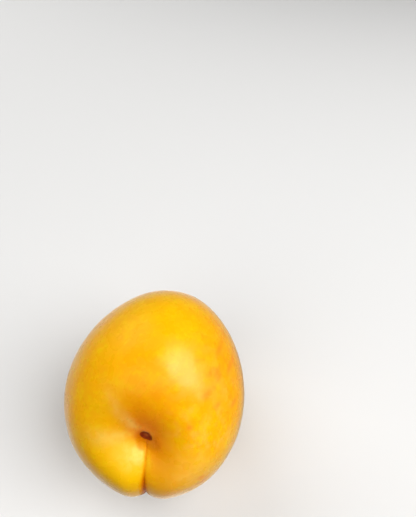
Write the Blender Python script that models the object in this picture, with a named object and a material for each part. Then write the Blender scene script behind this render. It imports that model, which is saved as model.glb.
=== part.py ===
"""A whole ripe apricot, lying on a surface with its stalk end up and forward.

Metres, +Z up. The origin is on the surface, under the middle of the fruit. -Y is the side that the stalk end
faces. The fruit is modelled upright first, with its stalk end at +Z and its suture at -Y.
Polar angles are measured from the stalk end, and turns round the stalk axis from the suture towards +X.
"""

import math

import bmesh
import bpy
from mathutils import Matrix, Vector

# The whole fruit
LENGTH = 0.0510  # stalk end to tip, before the hollow is pressed in
DEPTH = 0.0526  # suture side to back
THICKNESS = 0.0471  # cheek to cheek
SUTURE_SIDE_FULLNESS = 0.072  # how much further the suture side stands out than the back, as a share
RIGHT_FULLNESS = 0.010  # how much further the right cheek stands out than the left, as a share
CORNER_FULLNESS = 0.024  # the faint three-cornered outline seen from the stalk end, as a share
CORNER_TURN = math.radians(42.8)  # where its fullest corner is: the right cheek, beside the suture
STALK_END_BREADTH = -0.021  # how much broader the stalk half is than the tip half, as a share

# The hollow at the stalk end: a lopsided bowl, and a narrow funnel round the scar that the stalk left
BOWL_DEPTH = 0.0069
BOWL_RADIUS = 0.0095
BOWL_MIDDLE = (-0.0016, -0.0006)  # from the scar
BOWL_NARROWER_IN_FRONT = 0.30  # as a share of its radius
BOWL_WIDER_AT_RIGHT = 0.12
BOWL_FADES_OUT = 0.013  # the height above the fruit's middle from which it fades to nothing at the middle
FUNNEL_DEPTH = 0.0004
FUNNEL_RADIUS = 0.0028
SCAR_DEPTH = 0.0003
SCAR_LENGTH = 0.0038
SCAR_WIDTH = 0.0031
SCAR_TURN = math.radians(62)  # its long side, from the suture's direction
STALK_LEAN = 0.0008  # how far the scar is to the left of the body's axis

# The suture: a V-shaped valley between the cheeks, wider towards the hollow, with a narrow crease in it
VALLEY_DEPTH = 0.0022
VALLEY_HALF_WIDTH = 0.0046
VALLEY_LEFT_SPREAD = 0.0027
VALLEY_RIGHT_SPREAD = 0.0066
VALLEY_START = 0.0055  # how far from the scar it is fully open
CREASE_DEPTH = 0.0003
CREASE_HALF_WIDTH = 0.00035
CREASE_GAP = 0.0018  # how far in front of the scar's middle it begins
CREASE_START = 0.0020  # the length over which it reaches its full depth
SUTURE_FADE_AT = math.radians(52)  # where it has lost half its depth
SUTURE_FADE_OVER = math.radians(12)
SUTURE_REMAINS = 0.18  # the share of the depth that runs on to the tip

# The left cheek, a little fuller beside the suture
LOBE_RISE = 0.0006
LOBE_TURN = math.radians(-15)
LOBE_POLAR = math.radians(38)
LOBE_SPREAD = math.radians(19)

# The tip
TIP_HEIGHT = 0.0007
TIP_SPREAD = math.radians(13)

# How it lies
STALK_RISE = math.radians(26.2)  # the stalk axis above the horizon
ROLL = math.radians(3.2)  # the suture's turn round the stalk axis, towards -X
FOOT_PRESS = 0.0007  # how far the skin is pressed flat where the fruit rests
RIM_SNAP = 0.00008  # points of the skin this near the surface join the flat spot's rim

# The mesh: rows from stalk to tip, and columns round the stalk axis
ROWS = 48
COLUMNS = 88
ROW_CROWDING = 1.2  # above 1, rows gather at the stalk end
COLUMN_CROWDING = 0.76  # towards 1, columns gather at the suture

SKIN_COLOUR = (0.90, 0.47, 0.03, 1.0)
SKIN_ROUGHNESS = 0.5


def bell(distance, width):
    """1 at no distance, falling off smoothly within about width."""
    return math.exp(-((distance / width) ** 2))


def ramp(value, end):
    """0 up to no value, rising smoothly to 1 at end."""
    share = max(0.0, min(1.0, value / end))
    return share * share * (3 - 2 * share)


def clear_scene():
    for obj in list(bpy.data.objects):
        bpy.data.objects.remove(obj, do_unlink=True)


def direction_at(polar, turn):
    """The way out from the body's middle at a polar angle from the stalk end and a turn from the suture."""
    return Vector((math.sin(polar) * math.sin(turn), -math.sin(polar) * math.cos(turn), math.cos(polar)))


def rounded_body(direction):
    """The skin's point on the plain rounded body, with no hollow and no suture."""
    across_squared = direction.x**2 + direction.y**2
    turn = math.atan2(direction.x, -direction.y)
    outline = SUTURE_SIDE_FULLNESS * math.cos(turn) + RIGHT_FULLNESS * math.sin(turn)
    outline += CORNER_FULLNESS * math.cos(3 * (turn - CORNER_TURN))
    swell = (1 + across_squared * outline) * (1 + across_squared * direction.z * STALK_END_BREADTH)
    return swell * Vector(
        (
            direction.x * THICKNESS / 2,
            direction.y * DEPTH / 2,
            direction.z * LENGTH / 2,
        )
    )


def from_suture(point):
    """How far to the right of the suture a point is. Towards the stalk, the suture leans to the left."""
    return point.x + STALK_LEAN * max(0.0, point.z / (LENGTH / 2))


def hollow_depth(point):
    """How deep the hollow round the stalk scar presses the skin in at a point of the rounded body."""
    across = from_suture(point)
    aside = across - BOWL_MIDDLE[0]
    behind = point.y - BOWL_MIDDLE[1]
    from_middle = math.hypot(aside, behind) + 1e-9
    stretch = (BOWL_NARROWER_IN_FRONT * behind + BOWL_WIDER_AT_RIGHT * aside) / from_middle
    bowl = BOWL_DEPTH * bell(from_middle, BOWL_RADIUS * (1 + stretch))
    funnel = FUNNEL_DEPTH * bell(math.hypot(across, point.y), FUNNEL_RADIUS)
    return (bowl + funnel) * ramp(point.z, BOWL_FADES_OUT)


def scar_depth(point):
    """The oval pit where the stalk came away."""
    if point.z < 0:
        return 0.0
    aim = SCAR_TURN - math.pi / 2
    across = from_suture(point)
    lengthwise = (across * math.cos(aim) + point.y * math.sin(aim)) / (SCAR_LENGTH / 2)
    crosswise = (point.y * math.cos(aim) - across * math.sin(aim)) / (SCAR_WIDTH / 2)
    return SCAR_DEPTH * math.exp(-((lengthwise**2 + crosswise**2) ** 2))


def suture_depth(direction, point):
    """How deep the suture is at a point of the rounded body: it runs from the scar to the tip at -Y."""
    across = from_suture(point)
    spread = VALLEY_LEFT_SPREAD if across < 0 else VALLEY_RIGHT_SPREAD
    half_width = VALLEY_HALF_WIDTH + spread * max(0.0, direction.z) ** 6
    valley = VALLEY_DEPTH * max(0.0, 1 - abs(across) / half_width) ** 2 * ramp(-point.y, VALLEY_START)
    crease = CREASE_DEPTH * bell(across, CREASE_HALF_WIDTH) * ramp(-point.y - CREASE_GAP, CREASE_START)
    polar = math.acos(direction.z)
    fade = 1 / (1 + math.exp((polar - SUTURE_FADE_AT) / SUTURE_FADE_OVER))
    return (SUTURE_REMAINS + (1 - SUTURE_REMAINS) * fade) * (valley + crease)


def standing_out(direction):
    """How far the fuller cheek and the tip stand out from the rounded body."""
    lobe = LOBE_RISE * bell(direction.angle(direction_at(LOBE_POLAR, LOBE_TURN)), LOBE_SPREAD)
    return lobe + TIP_HEIGHT * bell(math.pi - math.acos(direction.z), TIP_SPREAD)


def skin_point(direction):
    """The skin's point, with the hollow, the scar, the suture, the fuller cheek and the tip."""
    point = rounded_body(direction)
    inward = hollow_depth(point) + scar_depth(point) + suture_depth(direction, point)
    return point + point.normalized() * (standing_out(direction) - inward)


def shape_skin(mesh):
    """Moves a unit sphere's points onto the skin, closer together at the stalk end and along the suture."""
    for vert in mesh.verts:
        row = math.acos(max(-1.0, min(1.0, vert.co.z))) / math.pi
        column = math.atan2(vert.co.x, -vert.co.y)
        direction = direction_at(math.pi * row**ROW_CROWDING, column - COLUMN_CROWDING * math.sin(column))
        direction.x -= STALK_LEAN / (THICKNESS / 2) * max(0.0, direction.z)
        vert.co = skin_point(direction.normalized())


def lay_down(mesh):
    """Tips the upright fruit onto its suture side, and lowers it until its lowest skin is pressed in."""
    roll = Matrix.Rotation(-ROLL, 4, "Z")
    tilt = Matrix.Rotation(math.pi / 2 - STALK_RISE, 4, "X")
    bmesh.ops.transform(mesh, matrix=tilt @ roll, verts=mesh.verts)
    lowest = min(vert.co.z for vert in mesh.verts)
    bmesh.ops.translate(mesh, vec=(0, 0, -lowest - FOOT_PRESS), verts=mesh.verts)


def press_foot(mesh):
    """Flattens the small spot that the fruit rests on: what is under the surface is cut away and closed."""
    cut = bmesh.ops.bisect_plane(
        mesh,
        geom=mesh.verts[:] + mesh.edges[:] + mesh.faces[:],
        dist=RIM_SNAP,
        plane_co=(0, 0, 0),
        plane_no=(0, 0, -1),
        use_snap_center=True,
        clear_outer=True,
    )
    rim = [item for item in cut["geom_cut"] if isinstance(item, bmesh.types.BMEdge)]
    bmesh.ops.contextual_create(mesh, geom=rim)
    bmesh.ops.recalc_face_normals(mesh, faces=mesh.faces[:])


def centre_over_origin(mesh):
    """Moves the fruit so that the middle of its plan is at x = y = 0."""
    middle = Vector((0, 0, 0))
    for axis in (0, 1):
        values = [vert.co[axis] for vert in mesh.verts]
        middle[axis] = (min(values) + max(values)) / 2
    bmesh.ops.translate(mesh, vec=-middle, verts=mesh.verts)


def skin_material():
    material = bpy.data.materials.new("apricot_skin")
    material.use_nodes = True
    shader = material.node_tree.nodes["Principled BSDF"]
    shader.inputs["Base Color"].default_value = SKIN_COLOUR
    shader.inputs["Roughness"].default_value = SKIN_ROUGHNESS
    shader.inputs["Metallic"].default_value = 0.0
    return material


def make_apricot(collection):
    mesh = bmesh.new()
    bmesh.ops.create_uvsphere(mesh, u_segments=COLUMNS, v_segments=ROWS, radius=1.0)
    shape_skin(mesh)
    lay_down(mesh)
    press_foot(mesh)
    centre_over_origin(mesh)
    data = bpy.data.meshes.new("apricot")
    mesh.to_mesh(data)
    mesh.free()
    data.shade_smooth()
    data.materials.append(skin_material())
    apricot = bpy.data.objects.new("apricot", data)
    collection.objects.link(apricot)
    return apricot


def main():
    clear_scene()
    collection = bpy.data.collections.new("apricot")
    bpy.context.scene.collection.children.link(collection)
    make_apricot(collection)


main()
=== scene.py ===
"""The looks of a whole ripe apricot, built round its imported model.

Metres, +Z up. The skin is shaped upright first, with its stalk end at +Z and its suture at -Y. It is then
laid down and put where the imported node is. Turns go round the stalk axis, from the suture towards +X.
"""

import math

import bmesh
import bpy
import numpy as np
from mathutils import Matrix, Vector, noise


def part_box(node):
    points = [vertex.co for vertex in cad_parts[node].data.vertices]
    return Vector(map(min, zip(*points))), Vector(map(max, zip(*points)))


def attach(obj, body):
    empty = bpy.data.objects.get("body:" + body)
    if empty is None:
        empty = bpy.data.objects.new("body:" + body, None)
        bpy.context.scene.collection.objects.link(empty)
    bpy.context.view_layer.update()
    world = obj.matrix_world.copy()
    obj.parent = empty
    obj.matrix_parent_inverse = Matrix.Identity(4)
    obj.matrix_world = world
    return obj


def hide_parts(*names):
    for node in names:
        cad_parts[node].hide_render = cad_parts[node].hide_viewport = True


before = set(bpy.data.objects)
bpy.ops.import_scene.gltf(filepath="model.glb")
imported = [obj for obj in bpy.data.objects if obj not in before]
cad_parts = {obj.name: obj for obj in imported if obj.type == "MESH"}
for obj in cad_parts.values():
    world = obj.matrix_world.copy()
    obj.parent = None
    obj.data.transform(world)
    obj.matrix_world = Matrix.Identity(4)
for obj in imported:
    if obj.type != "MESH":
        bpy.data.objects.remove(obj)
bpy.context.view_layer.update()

# The fruit's form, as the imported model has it
LENGTH = 0.0510
DEPTH = 0.0526
THICKNESS = 0.0471
SUTURE_SIDE_FULLNESS = 0.072
RIGHT_FULLNESS = 0.010
CORNER_FULLNESS = 0.024
CORNER_TURN = math.radians(42.8)
STALK_END_BREADTH = -0.021
BOWL_DEPTH = 0.0069
BOWL_RADIUS = 0.0095
BOWL_MIDDLE = (-0.0016, -0.0006)
BOWL_NARROWER_IN_FRONT = 0.30
BOWL_WIDER_AT_RIGHT = 0.12
BOWL_FADES_OUT = 0.013
FUNNEL_DEPTH = 0.0004
FUNNEL_RADIUS = 0.0028
SCAR_DEPTH = 0.0003
SCAR_LENGTH = 0.0038
SCAR_WIDTH = 0.0031
SCAR_TURN = math.radians(62)
VALLEY_DEPTH = 0.0022
VALLEY_HALF_WIDTH = 0.0046
VALLEY_LEFT_SPREAD = 0.0027
VALLEY_RIGHT_SPREAD = 0.0066
CREASE_DEPTH = 0.0003
CREASE_HALF_WIDTH = 0.00035
VALLEY_START = 0.0055
CREASE_GAP = 0.0018
CREASE_START = 0.0020
LOBE_RISE = 0.0006
LOBE_TURN = math.radians(-15)
LOBE_POLAR = math.radians(38)
LOBE_SPREAD = math.radians(19)
SUTURE_FADE_AT = math.radians(52)
SUTURE_FADE_OVER = math.radians(12)
SUTURE_REMAINS = 0.18
STALK_LEAN = 0.0008
TIP_HEIGHT = 0.0007
TIP_SPREAD = math.radians(13)
STALK_RISE = math.radians(26.2)
ROLL = math.radians(3.2)
FOOT_SOFTNESS = 0.0003  # how far up the rim of the flat spot is rounded

# The skin's mesh: a cube's grid blown up to a ball, with the grid lines gathered at the suture and the scar
GRID = 126
GATHER_AT_SUTURE = 0.45
GATHER_AT_SCAR = 0.3

# The skin's unevenness: (size of the lumps, how high they stand)
LUMPS = ((0.016, 0.00025), (0.006, 0.00009), (0.0025, 0.00003))

# Colours, linear
GOLD = (0.96, 0.47, 0.0)
AMBER = (0.95, 0.43, 0.0)
PALE = (0.97, 0.56, 0.0)
# Partly paler skin, partly painted light where the cheek left of the suture faces the lamp
LEMON_LIT_CHEEK = (0.97, 0.53, 0.0)
# A painted highlight on the cheek left of the suture
CHEEK_HIGHLIGHT_CREAM = (0.96, 0.66, 0.10)
# The next two: partly paler skin, partly painted light on the hollow's left wall, which faces the lamp
TAN_LIT_WALL = (1.0, 0.50, 0.08)
BEIGE_LIT_WALL = (0.97, 0.57, 0.07)
# Deeper orange in the stalk hollow: partly the skin's own tint, partly painted shade and bounced light of the
# recess
HOLLOW_ORANGE_AND_SHADE = (0.90, 0.19, 0.0)
# Partly deeper orange skin near the stalk, partly a painted shadow of the hollow's rim
HALO_ORANGE_AND_SHADOW = (0.82, 0.34, 0.0)
# Darker skin round the scar: partly browner skin, partly painted shade in the funnel
DARK_SCAR_RIM = (0.60, 0.10, 0.0)
ORANGE = (0.93, 0.36, 0.0)
PEACH = (1.0, 0.53, 0.07)
FRECKLE = (0.90, 0.27, 0.01)
BLUSH = (0.72, 0.13, 0.03)
# Partly browner skin, partly painted shade in the suture's crease
SUTURE_BROWN_AND_SHADE = (0.62, 0.13, 0.0)
SCAR_BROWN = (0.15, 0.010, 0.0)
SCAR_RUST = (0.27, 0.020, 0.0)
SCAR_PITH = (0.42, 0.10, 0.02)
FUZZ = (1.0, 0.84, 0.64)
GLOSS = (1.0, 0.76, 0.46)

# The scar and what is round it, where 1 is its edge
SCAR_FACES_END = 1.12
SCAR_FADES = (0.95, 1.2)
PITH_REACH = 0.45
# How far the skin round the scar is darkened, partly as painted shade in the funnel
DARK_RIM_REACHES = (2.3, 3.1)  # behind and in front of the scar
DARK_RIM_TURNS_OVER = (-0.001, 0.001)  # where the one reach goes over into the other

# Markings round the stalk end. A place there is how far it is to the right of the suture, and how far behind
# the scar. Each oval mark: its middle, half its length and width, and its long side's turn from crosswise
# The halo: partly deeper orange skin near the stalk, partly a painted shadow cast by the hollow's rim with
# bounced light in it; crisp at the left, where that shadow's edge falls
HALO_MARK = ((0.0005, -0.0013), (0.0037, 0.0040), 0.0)
HALO_SOFTNESS = (0.15, 0.70)  # inside its edge, left and right of the suture
HALO_SPILLS = 0.3  # the softness outside its edge, as a share of that inside
OVAL_MARKS = {
    # The cheek left of the suture: partly paler skin, partly painted light where it faces the lamp
    "lemon_lit_cheek": ((-0.0030, -0.0070), (0.0080, 0.0065), 0.0),
    # A painted highlight on the cheek left of the suture
    "cheek_highlight": ((-0.0030, -0.0048), (0.0042, 0.0022), math.radians(-30)),
    # The next two marks: partly paler skin, partly painted light on the hollow's left wall, which faces the
    # lamp
    "beige_lit_wall": ((-0.0080, 0.0006), (0.0050, 0.0020), 0.0),
    "tan": ((-0.0047, 0.0059), (0.0057, 0.0015), math.radians(-54)),
    "orange": ((0.0055, -0.0075), (0.0065, 0.0055), 0.0),
    # A strip right of the crease painted paler: painted light on the lip's crest, which faces the lamp
    "lit_lip": ((0.0012, -0.0063), (0.0018, 0.0008), math.radians(90)),
    "peach_patch": ((0.0125, -0.0085), (0.0060, 0.0045), 0.0),
}
LEFT_MARKS = ("lemon_lit_cheek", "cheek_highlight")  # these end at the suture
RIGHT_MARKS = ("orange",)
MARKS_UNDER_HALO = ("lemon_lit_cheek", "cheek_highlight", "beige_lit_wall", "tan")
LEFT_BEGINS_OVER = 0.0005
RIGHT_BEGINS_OVER = 0.0010
# The hollow's deeper orange: partly its own tint, partly painted shade of the recess
HOLLOW_TINT_AND_SHADE_ACROSS = 0.0065
HOLLOW_TINT_AND_SHADE_BEHIND = 0.0125
HOLLOW_TINT_AND_SHADE_IN_FRONT = 0.0050
HOLLOW_TINT_AND_SHADE_FADES_LEFT = (-0.001, 0.0025)  # how far in front of the scar, on the suture's left side
FAR_AWAY = 100.0  # where the lower half is, seen from any mark of the stalk end

# The dark line along the suture's bottom, partly browner skin and partly painted shade of the crease, and
# from what share of it the skin is bare
SUTURE_LINE_HALF_WIDTH = (0.0002, 0.0009)
SUTURE_LINE_DARKENS = (0.0065, 0.0125)
SUTURE_LINE_FADES = (math.radians(60), math.radians(120))
SUTURE_LINE_LOSES = 0.8
BARE_FROM = 0.15

# Marks on a whole side: the way that side faces, and the cosines of the angle from it where the mark begins
# and where it is full
SIDE_MARKS = {
    # The back side painted paler: painted light standing in for the bright rim there
    "lit_back": ((0.0, 1.0, 0.0), (0.70, 1.1)),
    "blush": ((0.15, 0.5, -0.85), (0.55, 1.2)),
    "peach": ((0.85, 0.05, 0.50), (0.45, 1.0)),
    "freckled": ((0.80, 0.50, 0.35), (0.75, 0.97)),
}
# The plainest freckles: their places and sizes
FRECKLES = (
    ((0.0153, 0.0138), 0.0009),
    ((0.0158, 0.0128), 0.0007),
    ((0.0139, 0.0145), 0.0006),
    ((0.0183, 0.0124), 0.0008),
    ((0.0155, 0.0168), 0.0008),
    ((0.0135, 0.0111), 0.0009),
    ((0.0161, 0.0077), 0.0006),
    ((0.0199, 0.0048), 0.0007),
    ((0.0105, 0.0052), 0.0006),
    ((0.0137, -0.0122), 0.0010),
    ((0.0131, -0.0100), 0.0007),
)

# Patterns of smooth noise: the size of their features, detail and roughness, then the noise where the pattern
# begins and where it is full, and its value at those two
PATTERNS = {
    "drift": (0.014, 2.0, 0.5, (0.35, 0.65), (0.0, 1.0)),
    "mottle": (0.0044, 4.0, 0.65, (0.46, 0.70), (0.0, 0.7)),
    "flecks": (0.0011, 2.0, 0.5, (0.50, 0.75), (0.0, 0.45)),
    "blotches": (0.0028, 4.0, 0.6, (0.44, 0.66), (0.0, 0.55)),
    "faint": (0.0015, 3.0, 0.5, (0.35, 0.60), (0.35, 0.8)),
    "patchy": (0.0019, 3.0, 0.5, (0.36, 0.60), (0.42, 1.0)),
    "specks": (0.0019, 3.0, 0.5, (0.54, 0.70), (0.0, 0.40)),
    "speckle": (0.0011, 4.0, 0.65, (0.42, 0.62), (0.55, 1.0)),
    "satin": (0.003, 2.0, 0.5, (0.35, 0.65), (0.24, 0.34)),
    "fibres": (0.0005, 3.0, 0.5, (0.35, 0.65), (0.0, 1.0)),
    "bundles": (0.0007, 2.0, 0.5, (0.35, 0.60), (0.3, 1.0)),
}
# The skin's layers of colour, from the ground up: the mark that each fills, the pattern that breaks it up,
# the layer's share, and its colour
SKIN_LAYERS = (
    (None, "mottle", 1.0, PALE),
    (None, "flecks", 1.0, PALE),
    ("peach", "blotches", 1.0, PEACH),
    ("orange", None, 0.8, ORANGE),
    ("peach_patch", "faint", 1.0, PEACH),
    ("freckled", None, 0.45, ORANGE),
    # Painted light: the back side paler, for the bright rim there
    ("lit_back", None, 0.45, PALE),
    # Partly paler skin, partly painted light on the cheek left of the suture
    ("lemon_lit_cheek", None, 1.0, LEMON_LIT_CHEEK),
    # Painted light on the lip's crest right of the crease
    ("lit_lip", None, 1.0, PALE),
    # Partly the hollow's own tint, partly painted shade of the recess
    ("hollow", None, 1.0, HOLLOW_ORANGE_AND_SHADE),
    # The next two: partly paler skin, partly painted light on the hollow's left wall, which faces the lamp
    ("beige_lit_wall", "patchy", 1.0, BEIGE_LIT_WALL),
    ("tan", "patchy", 1.0, TAN_LIT_WALL),
    # A painted highlight on the cheek left of the suture
    ("cheek_highlight", "patchy", 1.0, CHEEK_HIGHLIGHT_CREAM),
    # Partly deeper orange skin near the stalk, partly a painted shadow of the hollow's rim
    ("halo_and_shadow", None, 0.9, HALO_ORANGE_AND_SHADOW),
    # Partly browner skin, partly painted shade in the funnel round the scar
    ("dark_scar_rim", None, 0.7, DARK_SCAR_RIM),
    ("freckled", "specks", 1.0, FRECKLE),
    ("freckle", None, 0.8, FRECKLE),
    ("blush", "speckle", 1.0, BLUSH),
    # Partly browner skin, partly painted shade in the suture's crease
    ("suture", None, 0.9, SUTURE_BROWN_AND_SHADE),
    ("scar", None, 1.0, SCAR_BROWN),
)

# Bumps: the size of their features, their strength and their height
PORES = (0.0005, 0.15, 0.00006)
SCAR_RIDGES = (0.0004, 0.5, 0.00008)

# How much fuzz and gloss the skin has, and what is bare of fuzz has; then the rest of each finish
SKIN_FUZZ = 1.0
SKIN_GLOSS = 0.87
BARE_FUZZ = 0.0
BARE_GLOSS = 0.15
SKIN_FINISH = {
    "Subsurface Weight": 0.15,
    "Subsurface Radius": (1.0, 0.45, 0.10),
    "Subsurface Scale": 0.001,
    "Sheen Roughness": 0.26,
    "Sheen Tint": (*FUZZ, 1.0),
    "Specular Tint": (*GLOSS, 1.0),
}
SCAR_FINISH = {"Roughness": 0.6, "Specular IOR Level": 0.3}
FLOOR_FINISH = {"Base Color": (0.73, 0.725, 0.715, 1.0), "Roughness": 0.8}

# The camera and the lights, from the middle of the fruit's body
CAMERA_OFFSET = Vector((0.0134, -0.0504, 0.1008))
CAMERA_PITCH = math.radians(46)
CAMERA_LENS = 27.85
LAMP_DISTANCE = 0.9
# Each lamp: its direction, which way its long side runs, its length and width, its watts, and whether it
# shows in the skin's gloss
LAMPS = {
    "key": (Vector((0.61, -0.24, 0.76)), Vector((0.46, -0.46, -0.55)), (1.00, 0.70), 7.8, True),
    "front_soft": (Vector((0.20, -0.50, 0.84)), Vector((1, 0, 0)), (0.90, 0.90), 1.4, False),
    "left_soft": (Vector((-0.45, -0.60, 0.62)), Vector((0, 0, 1)), (0.90, 0.90), 3.35, False),
    "side_soft": (Vector((0.88, -0.12, 0.05)), Vector((0, 1, 0)), (0.60, 0.60), 3.6, False),
    "back_soft": (Vector((-0.52, 0.58, 0.63)), Vector((1, 0, 0)), (0.80, 0.80), 4.3, False),
}
# The room is brightest low down behind the fruit, where a pale floor would shine on the fruit's rim
ROOM_BRIGHT_WAY = Vector((-0.25, 0.42, -0.87))
ROOM_BRIGHT_FROM = 0.4  # the cosine of the angle from that way where the brightness begins
ROOM_DARKEST = 0.02
ROOM_BRIGHTEST = 0.58
BACKDROP_BRIGHTNESS = 0.72  # what the camera sees past the floor
FLOOR_SIZE = 1.8


def bell(distance, width):
    """1 at no distance, falling off smoothly within about width."""
    return np.exp(-((distance / width) ** 2))


def ramp(value, start, end):
    """0 up to start, rising smoothly to 1 at end."""
    share = np.clip((value - start) / (end - start), 0.0, 1.0)
    return share * share * (3 - 2 * share)


# ---------------------------------------------------------------- the skin's form


def gathered(coordinate, share):
    """A cube coordinate from -1 to 1, with its values drawn towards 0."""
    return (1 - share) * coordinate + share * coordinate**3


def ball_directions(cube):
    """Unit vectors through the points of a gridded cube."""
    across = gathered(cube[:, 0], GATHER_AT_SUTURE)
    forward = gathered(cube[:, 1], GATHER_AT_SCAR)
    spread = np.stack([across, forward, cube[:, 2]], axis=1)
    ball = np.tan(spread * math.pi / 4)
    ball /= np.linalg.norm(ball, axis=1, keepdims=True)
    ball[:, 0] -= STALK_LEAN / (THICKNESS / 2) * np.clip(ball[:, 2], 0, 1)
    return ball / np.linalg.norm(ball, axis=1, keepdims=True)


def rounded_body(directions):
    """The plain rounded body's points, with no hollow and no suture."""
    x, y, z = directions.T
    across_squared = x**2 + y**2
    turn = np.arctan2(x, -y)
    outline = SUTURE_SIDE_FULLNESS * np.cos(turn) + RIGHT_FULLNESS * np.sin(turn)
    outline = outline + CORNER_FULLNESS * np.cos(3 * (turn - CORNER_TURN))
    swell = (1 + across_squared * outline) * (1 + across_squared * z * STALK_END_BREADTH)
    return directions * swell[:, None] * np.array((THICKNESS / 2, DEPTH / 2, LENGTH / 2))


def from_suture(body):
    """How far to the right of the suture a point is. Towards the stalk, the suture leans to the left."""
    return body[:, 0] + STALK_LEAN * np.clip(body[:, 2] / (LENGTH / 2), 0, 1)


def scar_distance(body):
    """How far a point is from the middle of the oval scar: 1 is its edge."""
    aim = SCAR_TURN - math.pi / 2
    across = from_suture(body)
    lengthwise = (across * math.cos(aim) + body[:, 1] * math.sin(aim)) / (SCAR_LENGTH / 2)
    crosswise = (body[:, 1] * math.cos(aim) - across * math.sin(aim)) / (SCAR_WIDTH / 2)
    distance = np.hypot(lengthwise, crosswise)
    return np.where(body[:, 2] > 0, distance, FAR_AWAY)


def suture_strength(directions):
    polar = np.arccos(directions[:, 2])
    fade = 1 / (1 + np.exp((polar - SUTURE_FADE_AT) / SUTURE_FADE_OVER))
    return SUTURE_REMAINS + (1 - SUTURE_REMAINS) * fade


def pressed_in(directions, body):
    """How deep the hollow, the scar and the suture press the skin in at each point."""
    across = from_suture(body)
    backward = body[:, 1]
    aside, behind = across - BOWL_MIDDLE[0], backward - BOWL_MIDDLE[1]
    from_middle = np.hypot(aside, behind) + 1e-9
    stretch = (BOWL_NARROWER_IN_FRONT * behind + BOWL_WIDER_AT_RIGHT * aside) / from_middle
    bowl = BOWL_DEPTH * bell(from_middle, BOWL_RADIUS * (1 + stretch))
    funnel = FUNNEL_DEPTH * bell(np.hypot(across, backward), FUNNEL_RADIUS)
    hollow = (bowl + funnel) * ramp(body[:, 2], 0, BOWL_FADES_OUT)
    scar = SCAR_DEPTH * np.exp(-(scar_distance(body) ** 4))
    spread = np.where(across < 0, VALLEY_LEFT_SPREAD, VALLEY_RIGHT_SPREAD)
    half_width = VALLEY_HALF_WIDTH + spread * np.clip(directions[:, 2], 0, 1) ** 6
    valley = VALLEY_DEPTH * np.clip(1 - np.abs(across) / half_width, 0, 1) ** 2
    valley = valley * ramp(-backward, 0, VALLEY_START)
    crease = CREASE_DEPTH * bell(across, CREASE_HALF_WIDTH)
    crease = crease * ramp(-backward, CREASE_GAP, CREASE_GAP + CREASE_START)
    return hollow + scar + suture_strength(directions) * (valley + crease)


def lobe(directions):
    """How far the fuller cheek beside the suture's upper end stands out at each point."""
    middle = np.array((
        math.sin(LOBE_POLAR) * math.sin(LOBE_TURN),
        -math.sin(LOBE_POLAR) * math.cos(LOBE_TURN),
        math.cos(LOBE_POLAR),
    ))
    return LOBE_RISE * bell(np.arccos(np.clip(directions @ middle, -1, 1)), LOBE_SPREAD)


def lumps(body):
    """The skin's natural unevenness at each point."""
    height = np.zeros(len(body))
    for size, rise in LUMPS:
        height += rise * np.array([noise.noise(Vector(point) / size) for point in body])
    return height


def skin_points(directions):
    """The finished skin, upright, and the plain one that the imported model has."""
    body = rounded_body(directions)
    outward = body / np.linalg.norm(body, axis=1, keepdims=True)
    tip = TIP_HEIGHT * bell(np.arccos(-directions[:, 2]), TIP_SPREAD)
    standing_out = tip + lobe(directions) - pressed_in(directions, body)
    plain = body + outward * standing_out[:, None]
    return plain + outward * lumps(body)[:, None], plain


def laid_down(points):
    tilt = Matrix.Rotation(math.pi / 2 - STALK_RISE, 3, "X") @ Matrix.Rotation(-ROLL, 3, "Z")
    return points @ np.array(tilt).T


def shift_into_box(points):
    """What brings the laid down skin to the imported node: middle to middle in plan, and top to top."""
    low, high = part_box("apricot")
    own_low = points.min(axis=0)
    own_high = points.max(axis=0)
    shift = (np.array(low) + np.array(high) - own_low - own_high) / 2
    shift[2] = high[2] - own_high[2]
    return shift


def pressed_flat(points):
    """The skin with the small spot that it rests on, whose rim is soft."""
    height = points[:, 2]
    height = (height + np.sqrt(height**2 + FOOT_SOFTNESS**2)) / 2
    points[:, 2] = height - height.min()
    return points


def add_value(mesh, name, values):
    layer = mesh.attributes.new(name, "FLOAT", "POINT")
    layer.data.foreach_set("value", values.astype(np.float32))


def from_mark(across, backward, mark):
    """How far a place is from the middle of an oval mark: 1 is its edge."""
    (middle_across, middle_backward), (half_length, half_width), turn = mark
    aside, behind = across - middle_across, backward - middle_backward
    lengthwise = (aside * math.cos(turn) + behind * math.sin(turn)) / half_length
    crosswise = (behind * math.cos(turn) - aside * math.sin(turn)) / half_width
    return np.hypot(lengthwise, crosswise)


def mark_scar(mesh, body):
    """Stores where the scar is, its paler pith, and how far the skin round it is darkened: partly browner
    skin, partly painted shade in the funnel.
    """
    edge = scar_distance(body)
    add_value(mesh, "scar", 1 - ramp(edge, *SCAR_FADES))
    add_value(mesh, "scar_pith", bell(edge, PITH_REACH))
    behind_reach, front_reach = DARK_RIM_REACHES
    reach = behind_reach + (front_reach - behind_reach) * ramp(-body[:, 1], *DARK_RIM_TURNS_OVER)
    add_value(mesh, "dark_scar_rim", 1 - ramp(edge, 1.0, reach))


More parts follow.
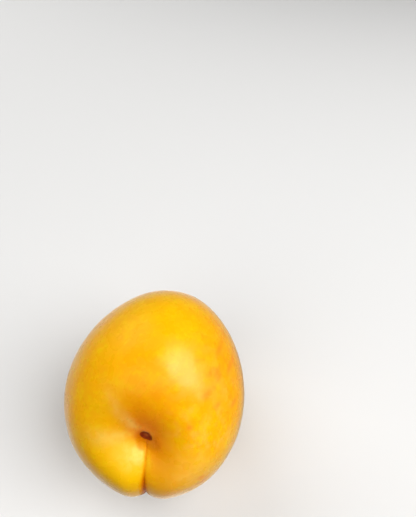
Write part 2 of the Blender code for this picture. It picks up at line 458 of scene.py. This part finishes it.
def mark_stalk_end(mesh, body):
    """Stores the halo round the scar and the tint of the hollow, both partly painted shade, the oval marks,
    some of which are painted light, and the plainest freckles.
    """
    across = np.where(body[:, 2] > 0, from_suture(body), FAR_AWAY)
    backward = body[:, 1]
    left = ramp(-across, 0.0, LEFT_BEGINS_OVER)
    right = ramp(across, 0.0, RIGHT_BEGINS_OVER)
    left_softness, right_softness = HALO_SOFTNESS
    softness = left_softness + (right_softness - left_softness) * (1 - left)
    halo_and_shadow = 1 - ramp(from_mark(across, backward, HALO_MARK), 1 - softness, 1 + HALO_SPILLS * softness)
    add_value(mesh, "halo_and_shadow", halo_and_shadow)

    reach = np.where(backward > 0, HOLLOW_TINT_AND_SHADE_BEHIND, HOLLOW_TINT_AND_SHADE_IN_FRONT)
    fan = bell(np.hypot(across / HOLLOW_TINT_AND_SHADE_ACROSS, backward / reach), 1.0)
    in_front = left * ramp(-backward, *HOLLOW_TINT_AND_SHADE_FADES_LEFT)
    add_value(mesh, "hollow", fan * (1 - in_front))

    for name, mark in OVAL_MARKS.items():
        amount = bell(from_mark(across, backward, mark), 1.0)
        if name in LEFT_MARKS:
            amount = amount * left
        if name in RIGHT_MARKS:
            amount = amount * right
        if name in MARKS_UNDER_HALO:
            amount = amount * (1 - halo_and_shadow)
        add_value(mesh, name, amount)
    spots = [bell(np.hypot(across - place[0], backward - place[1]), size) for place, size in FRECKLES]
    add_value(mesh, "freckle", np.max(spots, axis=0))


def mark_suture(mesh, directions, body):
    """Stores the dark line along the suture's bottom, partly painted shade of the crease: thin near the scar,
    thicker below, faint at the tip.
    """
    backward = body[:, 1]
    darkening = np.where(body[:, 2] > 0, ramp(-backward, *SUTURE_LINE_DARKENS), 1.0)
    thin, thick = SUTURE_LINE_HALF_WIDTH
    line = bell(from_suture(body), thin + (thick - thin) * darkening)
    fading = 1 - SUTURE_LINE_LOSES * ramp(np.arccos(directions[:, 2]), *SUTURE_LINE_FADES)
    add_value(mesh, "suture", line * np.where(backward < 0, darkening, 0.0) * fading)


def mark_skin(mesh, directions):
    """Stores, at each point of the skin, how much of each marking it carries."""
    body = rounded_body(directions)
    mark_scar(mesh, body)
    mark_stalk_end(mesh, body)
    mark_suture(mesh, directions, body)
    for name, (way, cosines) in SIDE_MARKS.items():
        add_value(mesh, name, ramp(directions @ np.array(Vector(way).normalized()), *cosines))


def give_faces_their_materials(mesh, directions):
    """The scar's faces get the second material, and those along the suture's bare bottom get the third."""
    edge = scar_distance(rounded_body(directions))
    bottom = np.empty(len(mesh.vertices))
    mesh.attributes["suture"].data.foreach_get("value", bottom)
    for face in mesh.polygons:
        corners = list(face.vertices)
        if edge[corners].max() < SCAR_FACES_END:
            face.material_index = 1
        elif bottom[corners].min() > BARE_FROM:
            face.material_index = 2


def make_skin():
    mesh = bmesh.new()
    bmesh.ops.create_cube(mesh, size=2.0)
    bmesh.ops.subdivide_edges(mesh, edges=mesh.edges[:], cuts=GRID - 1, use_grid_fill=True)
    data = bpy.data.meshes.new("apricot_skin")
    mesh.to_mesh(data)
    mesh.free()
    cube = np.empty(len(data.vertices) * 3)
    data.vertices.foreach_get("co", cube)
    directions = ball_directions(cube.reshape(-1, 3))
    points, plain = skin_points(directions)
    shift = shift_into_box(laid_down(plain))
    points = pressed_flat(laid_down(points) + shift)
    data.vertices.foreach_set("co", points.ravel())
    mark_skin(data, directions)
    data.shade_smooth()
    data.materials.append(skin_material("apricot_skin", SKIN_FUZZ, SKIN_GLOSS))
    data.materials.append(scar_material())
    data.materials.append(skin_material("suture_bottom", BARE_FUZZ, BARE_GLOSS))
    give_faces_their_materials(data, directions)
    skin = bpy.data.objects.new("apricot_skin", data)
    bpy.context.scene.collection.objects.link(skin)
    return skin, Vector(shift)


# ---------------------------------------------------------------- the skin's finish


class Shader:
    """A short way to write a material's nodes."""

    def __init__(self, name):
        self.material = bpy.data.materials.new(name)
        self.material.use_nodes = True
        self.tree = self.material.node_tree
        self.surface = self.tree.nodes["Principled BSDF"]

    def node(self, kind, **inputs):
        made = self.tree.nodes.new(kind)
        for name, value in inputs.items():
            self.feed(made, name.replace("_", " "), value)
        return made

    def feed(self, node, name, value):
        """Sets an input to a plain value, or links it to another node's output."""
        if isinstance(value, bpy.types.NodeSocket):
            self.tree.links.new(value, node.inputs[name])
        else:
            node.inputs[name].default_value = value

    def set_surface(self, values):
        """Sets several of the surface's inputs."""
        for name, value in values.items():
            self.feed(self.surface, name, value)

    def value(self, name):
        """What the mesh stores under a name."""
        made = self.tree.nodes.new("ShaderNodeAttribute")
        made.attribute_name = name
        return made.outputs["Fac"]

    def place(self):
        return self.node("ShaderNodeTexCoord").outputs["Object"]

    def clouds(self, size, detail=3.0, roughness=0.5):
        """Smooth noise, with features about size across."""
        made = self.node("ShaderNodeTexNoise", Vector=self.place(), Scale=1 / size)
        made.inputs["Detail"].default_value = detail
        made.inputs["Roughness"].default_value = roughness
        return made.outputs["Fac"]

    def pattern(self, name):
        """One of the named patterns of smooth noise."""
        size, detail, roughness, (begins, full), (least, most) = PATTERNS[name]
        made = self.node("ShaderNodeMapRange", Value=self.clouds(size, detail, roughness))
        made.interpolation_type = "SMOOTHSTEP"
        for end, number in zip(("From Min", "From Max", "To Min", "To Max"), (begins, full, least, most)):
            made.inputs[end].default_value = number
        return made.outputs["Result"]

    def bump(self, size, strength, height):
        made = self.node("ShaderNodeBump", Height=self.clouds(size), Strength=strength, Distance=height)
        self.feed(self.surface, "Normal", made.outputs["Normal"])

    def times(self, first, second):
        made = self.tree.nodes.new("ShaderNodeMath")
        made.operation = "MULTIPLY"
        for socket, value in zip(made.inputs, (first, second)):
            if isinstance(value, bpy.types.NodeSocket):
                self.tree.links.new(value, socket)
            else:
                socket.default_value = value
        return made.outputs["Value"]

    def blend(self, share, first, second):
        """Colour first, going over to colour second as share goes from 0 to 1."""
        made = self.tree.nodes.new("ShaderNodeMix")
        made.data_type = "RGBA"
        colours = [socket for socket in made.inputs if socket.type == "RGBA"]
        self.tree.links.new(share, made.inputs["Factor"])
        for socket, colour in zip(colours, (first, second)):
            if isinstance(colour, bpy.types.NodeSocket):
                self.tree.links.new(colour, socket)
            else:
                socket.default_value = (*colour, 1.0)
        return next(socket for socket in made.outputs if socket.type == "RGBA")


def skin_colour(shader):
    colour = shader.blend(shader.pattern("drift"), GOLD, AMBER)
    for mark, pattern, share, layer_colour in SKIN_LAYERS:
        amount = share
        if mark:
            amount = shader.times(shader.value(mark), amount)
        if pattern:
            amount = shader.times(shader.pattern(pattern), amount)
        colour = shader.blend(amount, colour, layer_colour)
    return colour


def scar_material():
    """The scar's dry brown tissue, with no fuzz: paler in its middle, where the bundles broke off."""
    shader = Shader("stalk_scar")
    colour = shader.blend(shader.pattern("fibres"), SCAR_BROWN, SCAR_RUST)
    bundles = shader.times(shader.value("scar_pith"), shader.pattern("bundles"))
    shader.feed(shader.surface, "Base Color", shader.blend(bundles, colour, SCAR_PITH))
    shader.set_surface(SCAR_FINISH)
    shader.bump(*SCAR_RIDGES)
    return shader.material


def skin_material(name, fuzz, gloss):
    shader = Shader(name)
    shader.feed(shader.surface, "Base Color", skin_colour(shader))
    shader.feed(shader.surface, "Roughness", shader.pattern("satin"))
    shader.feed(shader.surface, "Sheen Weight", fuzz)
    shader.feed(shader.surface, "Specular IOR Level", gloss)
    shader.set_surface(SKIN_FINISH)
    shader.bump(*PORES)
    return shader.material


# ---------------------------------------------------------------- the stage


def make_floor():
    bpy.ops.mesh.primitive_plane_add(size=FLOOR_SIZE)
    floor = bpy.context.object
    floor.name = "floor"
    shader = Shader("floor")
    shader.set_surface(FLOOR_FINISH)
    floor.data.materials.append(shader.material)
    floor.visible_glossy = False
    floor.visible_diffuse = False
    floor.visible_shadow = False


def make_world():
    world = bpy.data.worlds.new("studio")
    world.use_nodes = True
    background = world.node_tree.nodes["Background"]
    background.inputs["Color"].default_value = (1.0, 1.0, 1.0, 1.0)
    tree = world.node_tree
    place = tree.nodes.new("ShaderNodeTexCoord")
    facing = tree.nodes.new("ShaderNodeVectorMath")
    facing.operation = "DOT_PRODUCT"
    facing.inputs[1].default_value = ROOM_BRIGHT_WAY
    room = tree.nodes.new("ShaderNodeMapRange")
    tree.links.new(place.outputs["Generated"], facing.inputs[0])
    tree.links.new(facing.outputs["Value"], room.inputs["Value"])
    room.inputs["From Min"].default_value = ROOM_BRIGHT_FROM
    room.inputs["To Min"].default_value = ROOM_DARKEST
    room.inputs["To Max"].default_value = ROOM_BRIGHTEST
    seen = tree.nodes.new("ShaderNodeMapRange")
    rays = tree.nodes.new("ShaderNodeLightPath")
    tree.links.new(rays.outputs["Is Camera Ray"], seen.inputs["Value"])
    tree.links.new(room.outputs["Result"], seen.inputs["To Min"])
    seen.inputs["To Max"].default_value = BACKDROP_BRIGHTNESS
    tree.links.new(seen.outputs["Result"], background.inputs["Strength"])
    bpy.context.scene.world = world


def make_lamps(target):
    for name, (direction, long_way, size, power, in_gloss) in LAMPS.items():
        data = bpy.data.lights.new(name, "AREA")
        data.shape = "ELLIPSE"
        data.size, data.size_y = size
        data.energy = power
        lamp = bpy.data.objects.new(name, data)
        back = direction.normalized()
        side = (long_way - long_way.dot(back) * back).normalized()
        lamp.rotation_euler = Matrix((side, back.cross(side), back)).transposed().to_euler()
        lamp.location = target + back * LAMP_DISTANCE
        lamp.visible_glossy = in_gloss
        bpy.context.scene.collection.objects.link(lamp)


def make_camera(target):
    data = bpy.data.cameras.new("camera")
    data.lens = CAMERA_LENS
    data.clip_start = 0.01
    camera = bpy.data.objects.new("camera", data)
    camera.location = target + CAMERA_OFFSET
    camera.rotation_euler = (math.pi / 2 - CAMERA_PITCH, 0, 0)
    bpy.context.scene.collection.objects.link(camera)
    bpy.context.scene.camera = camera


skin, middle = make_skin()
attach(skin, "root")
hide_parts("apricot")
make_floor()
make_world()
make_lamps(middle)
make_camera(middle)
bpy.context.scene.view_settings.view_transform = "Standard"
